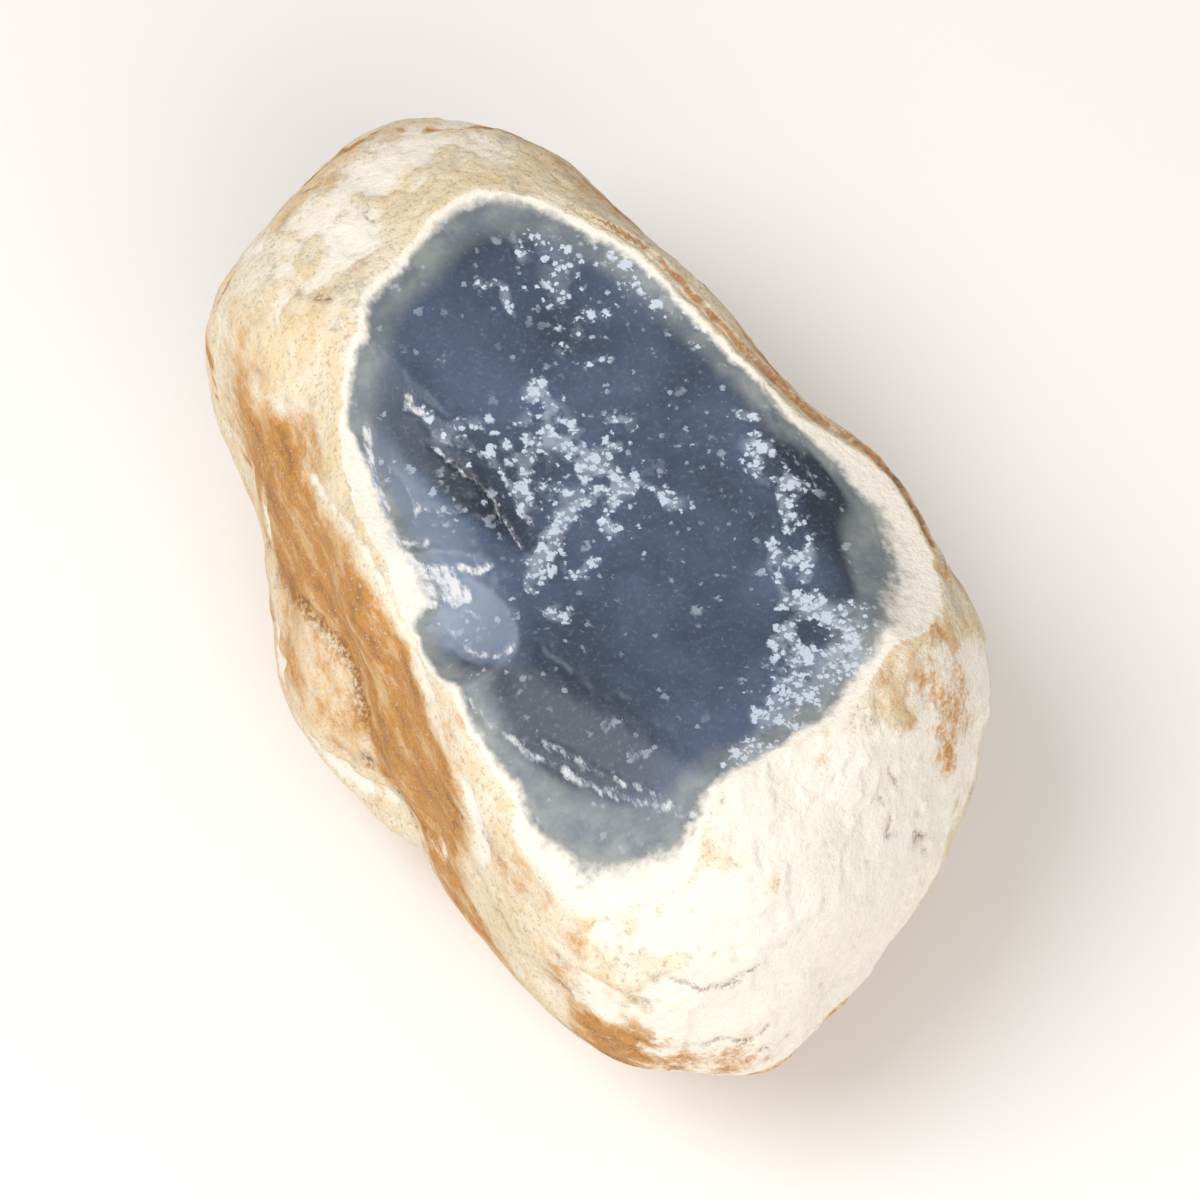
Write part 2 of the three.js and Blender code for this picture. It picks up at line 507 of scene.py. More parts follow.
@dataclass
class FineRelief:
    """Relief too fine for the solid: layers and ledges of the rind, chips and grain."""

    layer_drop: float = 0.14
    layer_edges: Triple = (1.0, 1.55, 2.2)
    layer_edge_half: float = 0.05
    peel_swell: Swell = Swell(0.75, 6.0, 3, 3.1)
    peel_fray: Swell = Swell(0.42, 2.2, 3, 8.8)
    rind_lumps: Swell = Swell(0.16, 3.2, 3, 7.7)
    rind_grain: Swell = Swell(0.045, 0.8, 2, 1.9)
    pocks: Swell = Swell(1.0, 1.5, 2, 14.2)
    pock_band: Pair = (0.3, 0.75)
    pock_depth: float = 0.16
    pock_peel: Pair = (1.6, 0.8)  # pocks fade out where the rind is peeled
    nicks: tuple[Spot, ...] = (
        Spot((17.5, -16.0, 15.0), 1.1, 0.7),
        Spot((0.5, -29.0, 14.5), 0.9, 0.3),
        Spot((-15.0, 19.0, 12.0), 1.3, 0.35),
        Spot((10.5, -22.0, 20.0), 0.8, 0.3),
        Spot((13.0, -16.5, 25.0), 0.9, 0.25),
        Spot((-5.0, 24.0, 27.0), 0.8, 0.25),
    )
    worn: tuple[Spot, ...] = (
        Spot((4.0, -23.0, 20.0), 10.5, 3.0),
        Spot((13.0, -15.0, 19.0), 7.0, 1.6),
        Spot((-9.0, 21.0, 24.0), 9.0, 1.2),
        Spot((3.0, 27.0, 21.0), 5.0, 1.3),
        Spot((-2.0, 24.5, 27.5), 4.2, 0.7),
        Spot((-6.0, -24.0, 16.0), 6.0, 0.9),
    )
    ledge_drop: float = 0.42
    ledge_margin: float = 0.6
    ledge_swell: Swell = Swell(0.16, 4.0, 2, 5.5)
    ledge_edge_half: float = 0.07
    ledge_turns: Quad = (-38, -22, 66, 88)  # where it starts, is full, fades and ends, in degrees
    seam_limit: float = 3.0
    seam_fading: float = 30.0
    rind_wander: Wander = Wander(0.9)
    bruise_wander: Wander = Wander(0.9)
    edge_wander: Wander = Wander(0.35)
    gaps: Swell = Swell(1.0, 2.4, 3, 21.5)
    gap_band: Pair = (-0.25, 0.25)
    crack_depth: float = 0.12
    core_waves: Swell = Swell(0.05, 4.5, 3, 2.2)
    core_grain: Swell = Swell(0.018, 0.9, 2, 6.4)
    arris_chips: Swell = Swell(0.35, 1.1, 3, 9.3)
    arris_chip_reach: float = 0.5
    crushed: Swell = Swell(0.1, 0.6, 2, 4.4)
    flake_edge_depth: float = 0.16
    rim_rounding: float = 0.06
    rim_half: float = 0.05
    most_crushed: float = 1.3
    flank_band: Pair = (-0.7, 0.1)
    flank_film: float = 1.08
    lobe_band: Pair = (-0.3, 0.3)
    lobe_rubbed: float = 0.5
    low_band: Pair = (10.0, 3.0)
    low_film: float = 0.7
    film_swell: Swell = Swell(1.0, 9.0, 3, 12.5)
    film_band: Pair = (0.1, 0.6)
    film_patches: float = 0.4
    seam_film: float = 1.2
    most_film: float = 1.4
    # wear along the crest, whose bared chalk is also a painted highlight
    crest_wear_and_highlight: float = 1.1
    crest_place: float = -0.75
    crest_reach: float = 0.4
    # painted shade along the crease between the flank and its bulge
    crease_shade: float = 0.75
    crease_band: Pair = (0.0, 0.5)
    crease_reach: float = 0.34
    thin: tuple[Spot, ...] = (
        Spot((-7.6, -19.4, 26.2), 2.6, 0.62),
        Spot((-9.6, -16.6, 25.9), 1.6, 0.4),
        Spot((-4.4, -21.2, 27.4), 1.8, 0.35),
    )
    cover_base: float = 0.5
    covers: tuple[Patch, ...] = (
        Patch((14.9, 0.5), (1.9, 8.0), 8, 1.7, 0.5),
        Patch((-12.2, 4.5), (1.3, 5.5), 4, 0.9, 0.5),
        Patch((-11.8, -0.9), (1.8, 1.2), -36, 1.2, 0.5),
        Patch((-8.0, -18.4), (5.6, 2.4), -48, 0.1, 0.4),
        Patch((-6.2, -12.0), (5.5, 3.2), -50, -0.14, 0.5),
        Patch((10.5, -14.5), (5.0, 3.4), 30, 0.3, 0.5),
        Patch((13.6, -8.8), (2.2, 4.2), 10, 1.0, 0.5),
    )
    # Above 0 the blue turns towards haze, below 0 towards deep blue. The dark patches beside the
    # left scar's arris, under the tongue flake, over the right scar and over the near scar are
    # painted shade; the one at the far end only darkens it.
    tones_and_shades: tuple[Patch, ...] = (
        Patch((-10.0, 2.0), (2.2, 6.2), 8, 0.8, 0.5),
        Patch((-8.9, -4.7), (3.2, 1.7), -78, 0.95, 0.08),
        Patch((-11.4, -3.8), (1.5, 1.1), -50, 1.1, 0.15),
        Patch((-6.6, 3.0), (1.1, 4.4), 24, -1.1, 0.6),
        Patch((-10.4, -7.6), (2.3, 1.0), -40, -0.9, 0.6),
        Patch((11.8, -1.5), (1.9, 8.5), 2, -0.9, 0.5),
        Patch((1.0, 15.5), (8.0, 5.0), -20, -0.45, 0.8),
        Patch((-6.4, -13.0), (5.6, 3.4), -50, -0.8, 0.5),
    )
    bruises: tuple[Stroke, ...] = (
        Stroke(((-7.5, 8.0), (-5.5, 5.0), (-4.5, 2.5), (-4.0, -1.0)), 0.36, 0.71),
        Stroke(((-0.5, 7.5), (-1.0, 5.5), (0.0, 3.5), (1.0, 1.0), (-0.5, -1.0)), 0.88, 1.5),
        Stroke(((-0.5, 4.0), (2.0, 3.5), (3.0, 4.5)), 0.62, 1.2),
        Stroke(((-0.5, 1.0), (-2.5, -0.5), (-3.5, -2.0), (-5.0, -3.0)), 0.58, 1.4),
        Stroke(((1.0, 1.0), (2.5, 0.5), (4.0, -1.0)), 0.55, 1.2),
        Stroke(((-1.0, 6.0), (-2.5, 3.5), (-2.0, 1.5)), 0.6, 0.8),
        Stroke(((-1.0, -3.5), (-1.5, -3.5), (-3.0, -3.5)), 0.29, 0.94),
        Stroke(((-5.5, -4.0), (-5.0, -5.0), (-4.0, -6.0)), 0.32, 1.06),
        Stroke(((-5.5, 6.5), (-3.5, 4.5), (-3.5, 1.0)), 0.61, 0.94),
        Stroke(((1.5, 16.5), (1.5, 15.5)), 0.36, 1.18),
        Stroke(((-1.5, 14.5), (-0.5, 14.0), (-0.5, 12.5)), 0.32, 1.0),
        Stroke(((3.5, 15.5), (2.5, 13.0), (3.5, 11.0)), 1.14, 0.6),
        Stroke(((2.0, 9.5), (2.5, 8.5), (3.5, 8.0)), 0.43, 0.71),
        Stroke(((10.0, 2.5), (9.5, 0.0), (10.0, -2.0)), 0.65, 1.5),
        Stroke(((10.0, -2.0), (9.5, -5.0), (8.5, -9.0), (8.5, -10.5)), 0.58, 1.6),
        Stroke(((8.0, -5.5), (7.0, -10.5)), 0.43, 0.83),
        Stroke(((7.0, -11.0), (5.0, -14.0), (3.0, -16.5), (0.5, -19.0)), 0.79, 1.06),
        Stroke(((8.5, -10.5), (7.5, -14.0), (5.0, -16.5)), 1.14, 0.8),
        Stroke(((9.5, -11.5), (9.0, -13.5), (10.5, -15.0)), 1.23, 0.95),
        Stroke(((6.5, 13.5), (8.0, 11.5), (8.5, 9.0)), 1.32, 0.5),
        Stroke(((-6.0, 0.0), (4.0, 0.0)), 6.0, 0.09),
    )
    flake_edges: tuple[Stroke, ...] = (
        Stroke(((-11.5, -8.0), (-10.0, -11.0), (-7.5, -14.5)), 0.3, 0.62),
        Stroke(((-7.5, -14.5), (-5.0, -17.5), (-2.5, -20.0)), 0.36, 0.85),
        Stroke(((-8.0, -12.5), (-6.0, -15.0), (-3.5, -18.0)), 0.24, 0.7),
        Stroke(((-10.5, -4.2), (-9.9, -5.8), (-9.1, -7.1), (-8.2, -7.4)), 0.2, 0.9),
        Stroke(((-8.2, -7.4), (-7.5, -6.6), (-7.3, -5.7)), 0.15, 0.55),
        Stroke(((-9.0, -3.5), (-8.5, -4.5)), 0.2, 0.7),
        Stroke(((-12.0, 9.2), (-11.6, 6.6), (-11.6, 4.2)), 0.5, 1.45),
        Stroke(((-10.4, 8.7), (-10.9, 6.4), (-11.2, 4.2)), 0.25, 1.3),
        Stroke(((-12.2, 6.8), (-12.0, 4.2), (-12.0, 2.0)), 0.42, 1.35),
        Stroke(((-11.4, 5.0), (-11.6, 3.6), (-11.7, 2.2)), 0.3, 1.2),
        Stroke(((-10.0, 6.0), (-9.5, 3.5), (-10.0, 2.0)), 0.18, 0.5),
        Stroke(((-12.3, 2.9), (-11.2, 1.8), (-9.8, 1.0)), 0.24, 1.15),
        Stroke(((-12.2, 1.8), (-10.4, -0.4), (-8.7, -2.7)), 0.36, 1.45),
        Stroke(((-12.3, 1.0), (-11.0, -1.1), (-9.4, -2.9)), 0.3, 1.35),
        Stroke(((-12.4, 0.3), (-11.7, -1.3), (-10.7, -2.4)), 0.26, 1.25),
        Stroke(((-12.4, 2.2), (-12.0, 0.6), (-11.9, -0.8)), 0.5, 1.2),
        Stroke(((-10.4, -0.2), (-9.4, -0.8), (-8.4, -1.3), (-7.3, -2.0)), 0.26, 1.05),
        Stroke(((-9.5, 3.2), (-8.2, 2.4), (-7.0, 1.8)), 0.17, 0.7),
        Stroke(((-7.5, 9.4), (-8.2, 8.7), (-7.4, 8.2)), 0.27, 1.05),
        Stroke(((-7.4, 6.3), (-6.5, 4.3), (-5.6, 1.3), (-5.3, -1.8)), 0.16, 0.8),
        Stroke(((-7.5, 7.5), (-5.5, 5.0), (-4.5, 2.5), (-4.0, -0.5)), 0.26, 0.6),
        Stroke(((11.5, 4.0), (12.0, 0.5), (11.5, -2.5)), 0.25, 0.4),
    )
    films: tuple[Spot, ...] = (
        Spot((-15.5, 14.5, 20.0), 4.0, 1.0),
        Spot((-15.3, 12.0, 21.6), 2.8, 0.7),
        Spot((-14.0, -10.0, 15.5), 3.2, 1.0),
        Spot((-13.5, -13.5, 13.0), 2.8, 0.9),
        Spot((-12.5, -17.0, 12.0), 2.4, 0.7),
        Spot((-14.0, 10.6, 24.0), 2.6, 0.7),
        Spot((-11.5, 17.0, 27.5), 2.6, 0.35),
        Spot((-14.8, 17.9, 24.1), 2.6, 0.35),
        Spot((-16.3, 10.5, 13.8), 3.2, 0.4),
        Spot((-6.0, 27.0, 25.0), 1.8, 0.2),
        Spot((6.0, 24.0, 24.0), 2.6, 0.6),
        Spot((6.5, 20.5, 25.8), 2.2, 0.45),
        Spot((9.0, 18.0, 24.5), 2.6, 0.7),
        Spot((13.0, 6.5, 23.5), 2.2, 0.6),
        Spot((14.2, -15.5, 23.4), 3.0, 0.85),
        Spot((14.0, -17.6, 21.5), 2.2, 0.6),
        Spot((15.5, -16.0, 19.0), 3.0, 0.6),
        Spot((17.0, -9.5, 22.5), 2.0, 0.3),
        Spot((17.5, -6.5, 22.0), 4.2, 0.3),
        Spot((-8.5, -25.0, 11.5), 3.2, 0.8),
        Spot((-9.5, -25.0, 16.2), 2.4, 0.65),
        Spot((-6.5, -27.0, 14.5), 2.8, 0.8),
        Spot((-2.5, -28.5, 13.8), 3.6, 0.9),
        Spot((3.5, -27.0, 11.0), 3.0, 0.7),
        Spot((-11.5, -17.0, 22.5), 2.6, 0.55),
        Spot((-9.5, -22.0, 22.5), 2.3, 0.5),
        Spot((-5.5, -23.0, 25.5), 1.4, 0.7),
        Spot((-12.5, -10.5, 24.0), 1.8, 0.6),
    )
    seams: tuple[Trace, ...] = (
        Trace(((-16.0, 20.0, 14.5), (-15.5, 21.0, 20.0), (-13.0, 23.5, 22.5), (-9.5, 27.0, 21.5),
                (-6.5, 28.5, 22.5), (-3.0, 28.5, 24.0)), 0.28, 0.9),
        Trace(((-1.5, 27.5, 25.5), (2.5, 26.0, 26.0), (5.0, 25.5, 24.5), (7.5, 23.0, 23.5),
                (9.5, 18.0, 24.0), (11.0, 12.5, 24.5), (13.0, 7.0, 23.5)), 0.34, 0.9),
        Trace(((-15.5, 18.0, 16.0), (-16.0, 12.0, 15.5), (-16.0, 6.0, 16.5)), 0.3, 0.6),
    )
    cracks: tuple[Trace, ...] = (
        Trace(((-15.5, 15.0, 16.0), (-16.0, 10.0, 15.0), (-16.5, 7.0, 15.5)), 0.26, 0.75),
        Trace(((-15.5, -3.5, 14.5), (-14.5, -7.5, 12.5), (-14.0, -11.0, 11.0)), 0.3, 0.85),
        Trace(((9.5, -19.5, 25.5), (9.5, -21.0, 23.0), (10.0, -22.0, 20.0), (10.5, -21.5, 17.5)),
               0.17, 0.85),
        Trace(((10.0, -21.5, 21.5), (10.5, -21.5, 19.5)), 0.34, 1.0),
        Trace(((8.5, -20.5, 24.5), (8.0, -22.0, 22.5)), 0.22, 0.6),
        Trace(((3.0, -23.0, 26.0), (5.5, -23.0, 24.5), (8.5, -22.5, 22.0)), 0.2, 0.45),
        Trace(((-6.5, 22.5, 28.0), (-5.5, 21.0, 29.0)), 0.18, 0.7),
        Trace(((-10.0, 16.5, 29.0), (-9.5, 16.0, 29.5)), 0.36, 1.0),
        Trace(((-11.0, 18.5, 28.0), (-10.5, 18.5, 28.0)), 0.3, 0.8),
        Trace(((-11.5, -20.0, 18.0), (-9.5, -24.5, 18.0), (-6.5, -26.5, 17.0), (-2.0, -28.0, 17.0)),
               0.3, 0.6),
        Trace(((-11.5, -19.5, 20.5), (-9.0, -24.0, 20.5), (-5.5, -26.0, 19.5)), 0.3, 0.5),
        Trace(((-6.0, -24.5, 22.5), (-3.5, -26.0, 21.0), (-1.5, -25.5, 22.0)), 0.26, 0.7),
        Trace(((-13.0, -11.5, 21.5), (-12.0, -15.0, 21.0), (-11.5, -17.5, 21.0)), 0.3, 0.7),
        Trace(((-13.5, -10.0, 21.0), (-13.0, -14.0, 19.5), (-12.0, -17.5, 17.5)), 0.3, 0.6),
        Trace(((-12.5, -13.0, 23.5), (-11.5, -16.0, 23.0)), 0.4, 0.6),
        Trace(((-1.0, -28.5, 15.0), (0.0, -28.5, 14.5)), 0.5, 1.0),
        Trace(((-10.0, -22.0, 11.0), (-9.5, -23.0, 10.5)), 0.5, 0.9),
        Trace(((17.0, -15.5, 16.5), (17.0, -16.0, 14.5)), 0.45, 0.9),
    )


@dataclass
class Nodule:
    """The one piece of the model: the stone with its rind, scars and marks."""

    form: StoneForm = field(default_factory=StoneForm)
    relief: FineRelief = field(default_factory=FineRelief)
    ball_subdivisions: int = 6
    edge_cuts: int = 2
    window_bias: float = 7.0  # crowds the facets towards the window

    def build(self) -> bpy.types.Object:
        """Model the stone, mark it and give its finish.

        Returns:
            The finished piece, riding on its body.
        """
        mesh = self.make_ball()
        ways = self.directions(mesh)
        reaches, marks = self.shape(ways)
        corners = (HEART + ways * reaches[:, None] + STAND) * MM
        corners[:, 2] = np.maximum(corners[:, 2], 0)
        mesh.vertices.foreach_set("co", corners.ravel())
        mesh.polygons.foreach_set("use_smooth", np.ones(len(mesh.polygons), bool))
        for mark, values in marks.items():
            layer = mesh.attributes.new(mark.value, "FLOAT", "POINT")
            layer.data.foreach_set("value", values.astype(np.float32))
        mesh.materials.append(StoneMaterial().build())
        mesh.update()
        piece = bpy.data.objects.new("nodule_stone", mesh)
        bpy.context.scene.collection.objects.link(piece)
        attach(piece, BODY)
        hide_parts(NODE)
        return piece

    def make_ball(self) -> bpy.types.Mesh:
        """Make a ball of even triangles, closed and facing outwards.

        Returns:
            The ball's mesh.
        """
        shell = bmesh.new()
        bmesh.ops.create_icosphere(shell, subdivisions=self.ball_subdivisions, radius=1)
        bmesh.ops.subdivide_edges(
            shell, edges=shell.edges[:], cuts=self.edge_cuts, use_grid_fill=True)
        bmesh.ops.triangulate(shell, faces=shell.faces[:])
        mesh = bpy.data.meshes.new("nodule_stone")
        shell.to_mesh(mesh)
        shell.free()
        return mesh

    def directions(self, mesh: bpy.types.Mesh) -> Array:
        """Spread the ball's corners over the long stone.

        Args:
            mesh: The ball.

        Returns:
            A unit direction from the heart for each corner.
        """
        corners = np.zeros(len(mesh.vertices) * 3)
        mesh.vertices.foreach_get("co", corners)
        ways = corners.reshape(-1, 3)
        ways = ways / np.linalg.norm(ways, axis=1)[:, None] * np.array(self.form.spread)
        ways[:, 2] += self.window_bias
        return ways / np.linalg.norm(ways, axis=1)[:, None]

    def shape(self, ways: Array) -> tuple[Array, dict[Mark, Array]]:
        """Work out the surface and its marks.

        Args:
            ways: Unit directions from the heart.

        Returns:
            The distance to the surface in each direction, and the value of each mark there.
        """
        form, relief = self.form, self.relief
        whole = form.rind_reach(ways)
        skin = HEART + ways * whole[:, None]
        scars = form.scar_reaches(ways)
        peel_and_highlight = self.peel_and_highlight(ways, skin)
        uneven = relief.rind_wander.shift(skin)
        broken = ramp(*relief.gap_band, relief.gaps.rise(skin))
        cracks = total(relief.cracks, uneven) * broken
        seams = total(relief.seams, uneven) * broken
        ledge, seam = self.ledge(ways, skin, np.min(scars, axis=0) - whole)
        rind = self.rind(whole, skin, peel_and_highlight)
        rind -= relief.crack_depth * np.clip(cracks, 0, 1)
        rind -= ledge
        window, bruise, lines = self.window(ways, scars)

        surface = smooth_min(rind, window, relief.rim_rounding)
        surface = np.minimum(surface, form.ground_reach(ways))
        points = HEART + ways * surface[:, None]
        depth = np.maximum(rind - surface, 0) * self.skin_slope(ways)
        in_window = ramp(relief.rim_half, -relief.rim_half, window - rind)
        film = self.stain(ways, points) + relief.seam_film * seams
        marks = {
            Mark.DEPTH: depth + total(relief.thin, points),
            Mark.COVER: relief.cover_base + total(relief.covers, points),
            Mark.TONE_AND_SHADE: total(relief.tones_and_shades, points),
            Mark.BRUISE: np.clip(bruise, 0, relief.most_crushed) * in_window,
            Mark.EDGES: np.clip(lines, 0, relief.most_crushed) * in_window,
            Mark.STAIN: np.clip(film, 0, relief.most_film),
            Mark.PEEL_AND_HIGHLIGHT: peel_and_highlight,
            Mark.SEAM: np.clip(seam, -relief.seam_limit, relief.seam_limit),
            # Grime in the cracks, painted shade in the crease.
            Mark.GRIME_AND_SHADE: np.clip(cracks + self.crease(ways), 0, 1),
        }
        return surface, marks

    def peel_and_highlight(self, ways: Array, skin: Array) -> Array:
        """Work out how many layers of the rind have come off, with a painted highlight along the
        crest.

        Args:
            ways: Unit directions from the heart.
            skin: The points where they meet the whole rind.

        Returns:
            A value that passes each of the layer edges where one more layer is gone.
        """
        relief = self.relief
        peel_and_highlight = total(relief.worn, skin) + relief.peel_swell.rise(skin)
        return peel_and_highlight + relief.peel_fray.rise(skin) + self.crest(ways)

    def rind(self, whole: Array, skin: Array, peel_and_highlight: Array) -> Array:
        """Give the rind its lumps, grain, pocks, nicks and worn layers.

        Args:
            whole: The distance to the whole rind in each direction.
            skin: The points where the directions meet it.
            peel_and_highlight: How far the layers have come off there.

        Returns:
            The distance to the rind.
        """
        relief = self.relief
        rind = whole + relief.rind_lumps.rise(skin) + relief.rind_grain.rise(skin)
        pocks = relief.pock_depth * ramp(*relief.pock_band, relief.pocks.rise(skin))
        rind -= pocks * ramp(*relief.pock_peel, peel_and_highlight)
        rind -= total(relief.nicks, skin)
        half = relief.layer_edge_half
        for edge in relief.layer_edges:
            rind -= relief.layer_drop * ramp(edge - half, edge + half, peel_and_highlight)
        return rind

    def ledge(self, ways: Array, skin: Array, margin: Array) -> tuple[Array, Array]:
        """Cut the ledge beside the window, and find the seam along its outer edge.

        Args:
            ways: Unit directions from the heart.
            skin: The points where they meet the whole rind.
            margin: How far the skin lies below the window's surface, less than 0 inside it.

        Returns:
            The depth of the ledge, and the distance from the seam, less than 0 on the ledge.
        """
        relief = self.relief
        side = self.ledge_side(ways)
        edge = relief.ledge_margin + relief.ledge_swell.rise(skin)
        half = relief.ledge_edge_half
        depth = relief.ledge_drop * side * ramp(edge + half, edge - half, margin)
        seam = (margin - edge) * (1 + relief.seam_fading * (1 - side))
        return depth, np.where(side > 0, seam, relief.seam_limit)

    def window(self, ways: Array, scars: Array) -> tuple[Array, Array, Array]:
        """Join the scars into the window's surface, with its chips and crushed places.

        Args:
            ways: Unit directions from the heart.
            scars: The distance to each scar.

        Returns:
            The distance to the window, and how strongly it is bruised and edged with flakes.
        """
        form, relief = self.form, self.relief
        points = HEART + ways * np.min(scars, axis=0)[:, None]
        bruise = total(relief.bruises, relief.bruise_wander.shift(points))
        lines = total(relief.flake_edges, relief.edge_wander.shift(points))
        nearest, second = np.sort(scars, axis=0)[:2]
        chips = np.maximum(relief.arris_chips.rise(points), 0)
        chips *= np.exp(-(((second - nearest) / relief.arris_chip_reach) ** 2))
        main, left, right, near, chip = scars
        sheet = smooth_min(main, near, form.sheet_rounding)
        sheet = smooth_min(sheet, chip, form.chip_rounding)
        window = smooth_min(sheet, left, form.arris_rounding)
        window = smooth_min(window, right, form.arris_rounding)
        window += relief.core_waves.rise(points) + relief.core_grain.rise(points)
        window -= chips + np.clip(bruise, 0, 1) * np.abs(relief.crushed.rise(points))
        window -= relief.flake_edge_depth * np.clip(lines, 0, 1)
        return window, bruise, lines

    def ledge_side(self, ways: Array) -> Array:
        """Find the side of the window where the rind has a ledge.

        Args:
            ways: Unit directions from the heart.

        Returns:
            1 on that side, and 0 elsewhere.
        """
        turns = np.degrees(np.arctan2(ways[:, 1], ways[:, 0]))
        start, full, fading, end = self.relief.ledge_turns
        return ramp(start, full, turns) * ramp(end, fading, turns)

    def skin_slope(self, ways: Array) -> Array:
        """Measure how squarely each direction meets the skin.

        Args:
            ways: Unit directions from the heart.

        Returns:
            A value up to 1, which stands for a direction square to the skin.
        """
        nudge = 0.01
        tilt = np.zeros(len(ways))
        level = self.form.skin_reach(ways)
        for axis in np.eye(3):
            across = axis - ways * (ways @ axis)[:, None]
            moved = ways + across * nudge
            moved /= np.linalg.norm(moved, axis=1)[:, None]
            change = (self.form.skin_reach(moved) - level) / nudge / level
            tilt += change**2
        return 1 / np.sqrt(1 + tilt)

    def stain(self, ways: Array, points: Array) -> Array:
        """Work out the ochre film, which the flank and the underside hold most of.

        Args:
            ways: Unit directions from the heart.
            points: The points where they meet the surface.

        Returns:
            How much film each point holds.
        """
        relief = self.relief
        lobe = ramp(*relief.lobe_band, self.lobe_rise(ways))
        flank = ramp(*relief.flank_band, self.form.flank_cut(ways))
        flank = flank * (relief.flank_film - relief.lobe_rubbed * lobe)
        low = relief.low_film * ramp(*relief.low_band, points[:, 2])
        patches = relief.film_patches * ramp(*relief.film_band, relief.film_swell.rise(points))
        return flank + low + patches + total(relief.films, points)

    def lobe_rise(self, ways: Array) -> Array:
        """Measure how far the bulge stands out of the flank, less than 0 beside it."""
        return self.form.lobe.reach(ways) - self.form.flank.reach(ways)

    def crest(self, ways: Array) -> Array:
        """Give the extra wear along the rounded crest above the flank, which also bares the chalk
        there as a painted highlight.
        """
        away = (self.form.flank_cut(ways) - self.relief.crest_place) / self.relief.crest_reach
        return self.relief.crest_wear_and_highlight * np.exp(-(away**2))

    def crease(self, ways: Array) -> Array:
        """Paint shade along the crease between the flank and its bulge.

        Args:
            ways: Unit directions from the heart.

        Returns:
            How much painted shade there is in each direction.
        """
        relief = self.relief
        on_flank = ramp(*relief.crease_band, self.form.flank_cut(ways))
        away = self.lobe_rise(ways) / relief.crease_reach
        return relief.crease_shade * on_flank * np.exp(-(away**2))


def light_value(shade: int) -> float:
    """Turn one part of a screen colour, from 0 to 255, into a light value."""
    part = shade / 255
    return part / 12.92 if part <= 0.04045 else ((part + 0.055) / 1.055) ** 2.4


def paint(red: int, green: int, blue: int) -> Quad:
    """Turn a screen colour into light values, with full cover."""
    return (light_value(red), light_value(green), light_value(blue), 1.0)


@dataclass(frozen=True)
class Grain:
    """Noise in a material."""

    size: float  # width of its largest lumps, in millimetres
    detail: float
    harshness: float


@dataclass(frozen=True)
class Coat:
    """A colour that lies over the rest where its driver passes a band."""

    colour: Quad
    band: Pair  # no cover at the first value, full cover at the second
    cover: float = 1.0


@dataclass(frozen=True)
class RindFinish:
    """Chalky rind and its ochre film."""

    cream: Quad = paint(230, 214, 184)
    ivory: Coat = Coat(paint(240, 230, 208), (0.38, 0.62))
    tan: Coat = Coat(paint(232, 206, 160), (0.44, 0.62), 0.7)
    tan_grain: Grain = Grain(2.6, 5, 0.75)
    grey: Coat = Coat(paint(168, 164, 152), (0.53, 0.68), 0.5)
    grey_grain: Grain = Grain(3.1, 5, 0.78)
    sand: Grain = Grain(0.33, 3, 0.75)
    chalk: Quad = paint(250, 243, 231)
    chalk_cover: float = 0.88
    peel_sway: float = 0.3
    peel_band: Pair = (0.9, 1.3)
    depth_band: Pair = (0.06, 0.2)
    rubbed: float = -0.5  # film lost where the chalk is bare
    film_sways: Triple = (1.2, 1.5, 1.3)  # by middle noise, sand and streaks
    streaks: Grain = Grain(1.1, 5, 0.7)
    ochre: Coat = Coat(paint(204, 148, 76), (0.2, 0.95))
    deep_ochre: Coat = Coat(paint(168, 107, 44), (0.6, 1.2), 0.8)
    deep_sand: Pair = (0.44, 0.58)
    veins: Coat = Coat(paint(232, 206, 160), (0.3, 0.8), 0.42)
    vein_streaks: Pair = (0.5, 0.36)
    rust: Coat = Coat(paint(112, 78, 48), (0.7, 1.2), 0.5)
    rust_streaks: Pair = (0.52, 0.66)
    seam: Coat = Coat(paint(168, 107, 44), (0.22, 0.04), 0.8)
    seam_gaps: Pair = (0.36, 0.5)
    speckle: Coat = Coat(paint(240, 230, 208), (0.54, 0.68), 0.4)
    # brown of grit, soil and grime, also used for the painted shade in the crease
    brown: Quad = paint(112, 78, 48)
    grit_share: float = 0.07
    grit_size: float = 0.55
    grit_cover: float = 0.5
    soil_sand: Pair = (0.48, 0.34)
    soil_cover: float = 0.35
    soil_bare: Pair = (1.4, 0.2)
    grime_and_shade_sand: Pair = (0.4, 0.56)
    roughness: float = 0.86
    sand_height: float = 0.5
    grime_height: float = -0.8


